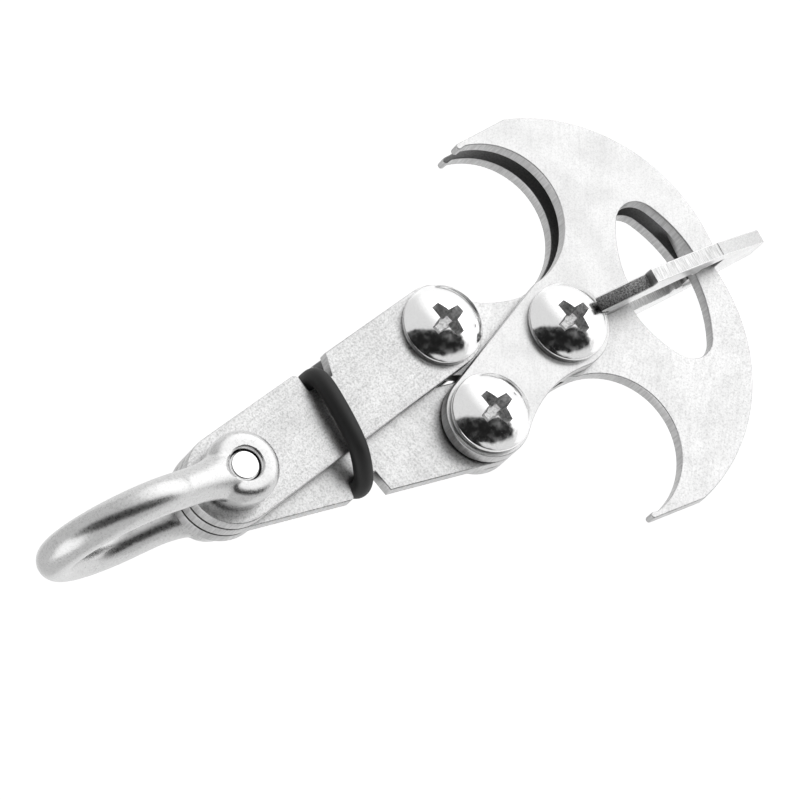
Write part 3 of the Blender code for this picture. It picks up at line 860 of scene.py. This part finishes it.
def o_ring(material, pin_centre):
    """The stretched rubber ring. Its +X end follows the upper arm and its -X end the lower arm."""
    low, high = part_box("o_ring")
    centre = Vector((pin_centre.x, 0.0, (low.z + high.z) / 2.0))
    line = softened(ring_line(), RING_POINTS, RING_SOFTNESS)
    work = bmesh.new()
    rings = []
    for i, (x, y) in enumerate(line):
        before, after = line[i - 1], line[(i + 1) % len(line)]
        out = Vector((after[1] - before[1], before[0] - after[0], 0.0)).normalized()
        ring = []
        for k in range(RING_SIDES):
            turn = 2.0 * math.pi * k / RING_SIDES
            spot = Vector((x, y, math.sin(turn) * RING_RADIUS)) + out * math.cos(turn) * RING_RADIUS
            ring.append(work.verts.new(centre + spot * MM))
        rings.append(ring)
    for i in range(len(rings)):
        for k in range(RING_SIDES):
            work.faces.new((rings[i - 1][k - 1], rings[i - 1][k], rings[i][k], rings[i][k - 1]))
    ring = finish("o_ring_look", work, [material], None, ["o_ring"])
    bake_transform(ring)


# ---------------------------------------------------------------- studio


def camera_axes():
    """The camera's right, up and forward directions: it looks back and down, with -Z to the right."""
    forward = Vector(CAMERA_FORWARD).normalized()
    up = Vector(CAMERA_RIGHT).normalized().cross(forward).normalized()
    right = forward.cross(up)
    return right, up, forward


def look_at_camera():
    """A long lens, rolled so that the hanging anchor lies across the frame."""
    right, up, forward = camera_axes()
    camera = bpy.data.cameras.new("camera")
    camera.lens = CAMERA_LENS
    camera.sensor_width = CAMERA_SENSOR
    camera.clip_start = CAMERA_NEAR
    camera.clip_end = CAMERA_FAR
    holder = bpy.data.objects.new("camera", camera)
    bpy.context.scene.collection.objects.link(holder)
    turn = Matrix((right, up, -forward)).transposed().to_4x4()
    holder.matrix_world = Matrix.Translation(CAMERA_PLACE) @ turn
    bpy.context.scene.camera = holder


def floor():
    """A pale paper floor with a faint glow of its own.

    Its front half is only seen, so that steel mirrors the darker room in front and not the paper.
    """
    shader = Shader("floor_paper", NOT_METAL)
    grain = shader.noise(0.02, 2.0)
    tone = shader.colours(grain, [(0.3, grey(0.9)), (0.7, grey(0.94))])
    shader.link(tone, shader.principled.inputs["Base Color"])
    shader.principled.inputs["Roughness"].default_value = FLOOR_ROUGHNESS
    shader.principled.inputs["Emission Color"].default_value = (1.0, 1.0, 1.0, 1.0)
    shader.principled.inputs["Emission Strength"].default_value = FLOOR_GLOW
    halves = (("floor_back", FLOOR_FRONT, FLOOR_REACH), ("floor_front", -FLOOR_REACH, FLOOR_FRONT))
    for name, near, far in halves:
        work = bmesh.new()
        spots = ((-FLOOR_REACH, near), (FLOOR_REACH, near), (FLOOR_REACH, far), (-FLOOR_REACH, far))
        work.faces.new([work.verts.new((x, y, FLOOR_HEIGHT)) for x, y in spots])
        half = helper(name, work, [shader.material])
        if name == "floor_front":
            half.visible_diffuse = False
            half.visible_glossy = False
            half.visible_shadow = False


def softbox():
    """A faint square softbox overhead."""
    light = bpy.data.lights.new("overhead", "AREA")
    light.shape = "SQUARE"
    light.size = SOFTBOX_SIDE
    light.energy = SOFTBOX_WATTS
    holder = bpy.data.objects.new("overhead", light)
    bpy.context.scene.collection.objects.link(holder)
    holder.location = SOFTBOX_PLACE
    aim = Vector(SOFTBOX_TARGET) - Vector(SOFTBOX_PLACE)
    holder.rotation_euler = aim.to_track_quat("-Z", "Y").to_euler()


def world():
    """A pale room with a soft glow from below in front, and a dark mottled patch where the camera stands.

    The steel mirrors all of it, but a camera sees the room itself as plain white.
    """
    made = bpy.data.worlds.new("studio")
    made.use_nodes = True
    tree = made.node_tree
    background = tree.nodes["Background"]
    background.inputs["Color"].default_value = (1.0, 1.0, 1.0, 1.0)
    place = tree.nodes.new("ShaderNodeTexCoord")

    def dot(direction):
        """How far the way that is looked at runs along a direction."""
        node = tree.nodes.new("ShaderNodeVectorMath")
        node.operation = "DOT_PRODUCT"
        node.inputs[1].default_value = direction
        tree.links.new(place.outputs["Generated"], node.inputs[0])
        return node.outputs["Value"]

    def math_node(operation, first, second):
        """A Math node on two inputs, each a socket or a number."""
        node = tree.nodes.new("ShaderNodeMath")
        node.operation = operation
        for value, socket in zip((first, second), node.inputs):
            if isinstance(value, float):
                socket.default_value = value
            else:
                tree.links.new(value, socket)
        return node.outputs["Value"]

    def ramp(value, low, high, first, second):
        """A value mapped smoothly from one range to another, clamped."""
        node = tree.nodes.new("ShaderNodeMapRange")
        node.interpolation_type = "SMOOTHSTEP"
        for name, number in (("From Min", low), ("From Max", high), ("To Min", first), ("To Max", second)):
            node.inputs[name].default_value = number
        tree.links.new(value, node.inputs["Value"])
        return node.outputs["Result"]

    right, up, forward = camera_axes()
    wide = math_node("DIVIDE", math_node("SUBTRACT", dot(right), PATCH_SHIFT[0]), PATCH_REACH[0])
    tall = math_node("DIVIDE", math_node("SUBTRACT", dot(up), PATCH_SHIFT[1]), PATCH_REACH[1])
    wide, tall = (math_node("POWER", value, power) for value, power in zip((wide, tall), PATCH_POWERS))
    spread = math_node("ADD", wide, tall)
    mottle = tree.nodes.new("ShaderNodeTexNoise")
    mottle.inputs["Scale"].default_value = MOTTLE_SCALE
    mottle.inputs["Detail"].default_value = MOTTLE_DETAIL
    mottle.inputs["Roughness"].default_value = MOTTLE_ROUGHNESS
    tree.links.new(place.outputs["Generated"], mottle.inputs["Vector"])
    wander = ramp(mottle.outputs["Fac"], *NOISE_RANGE, -MOTTLE_WANDER, MOTTLE_WANDER)
    spread = math_node("ADD", spread, wander)
    behind = ramp(dot(forward), PATCH_FADE, 0.0, 1.0, 0.0)
    patch = math_node("MULTIPLY", ramp(spread, *PATCH_EDGE, 1.0, 0.0), behind)
    depth = ramp(mottle.outputs["Fac"], *MOTTLE_RANGE, PATCH_DARK, PATCH_PALE)
    lit = math_node("SUBTRACT", 1.0, math_node("MULTIPLY", patch, depth))
    room = ramp(dot(GLOW_FROM), GLOW_START, 1.0, ROOM_LIGHT, ROOM_LIGHT + GLOW)
    seen = tree.nodes.new("ShaderNodeLightPath").outputs["Is Camera Ray"]
    light = math_node("MULTIPLY", math_node("MULTIPLY", lit, room), math_node("SUBTRACT", 1.0, seen))
    tree.links.new(math_node("ADD", light, seen), background.inputs["Strength"])
    bpy.context.scene.world = made


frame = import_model()
PIN = centre_of("shackle_pin")

EDGE, PAINTED_GAP_SHADE, WASHER = plate_edge(), plate_painted_gap_shade(), washer_steel()
STEEL, RECESS_AND_SHADE, BOW, BLACK = polished(), recess_steel_and_shade(), tumbled(), rubber()
FACES = {body: plate_face(*look) for body, look in PLATE_LOOKS.items()}
CROSS_LIT_FACE = plate_face(*CROSS_LIT_LOOK)
CENTRE_HEIGHT = centre_of("centre_pivot_screw").z
CROSS_EDGE = cross_edge(CENTRE_HEIGHT - CROSS_STEP * MM, CENTRE_HEIGHT - CROSS_CREASE * MM)

for node_name in list(frame["nodes"]):
    node_body = frame["nodes"][node_name]["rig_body"]
    if node_name == "cross_claw":
        plate(node_name, node_body, CROSS_LIT_FACE, CROSS_EDGE, PAINTED_GAP_SHADE)
    elif node_name.endswith("plate"):
        plate(node_name, node_body, FACES[node_body], EDGE, PAINTED_GAP_SHADE)
    elif node_name.endswith("screw"):
        screw(node_name, node_body, [STEEL, RECESS_AND_SHADE])
    elif node_name.endswith("nut"):
        nut(node_name, node_body, STEEL)
    elif node_name.endswith("washer"):
        washer(node_name, node_body, WASHER)
shackle_bow(BOW, PIN)
shackle_pin(STEEL, PIN)
o_ring(BLACK, PIN)

floor()
world()
softbox()
look_at_camera()
bpy.context.scene.view_settings.view_transform = "Standard"
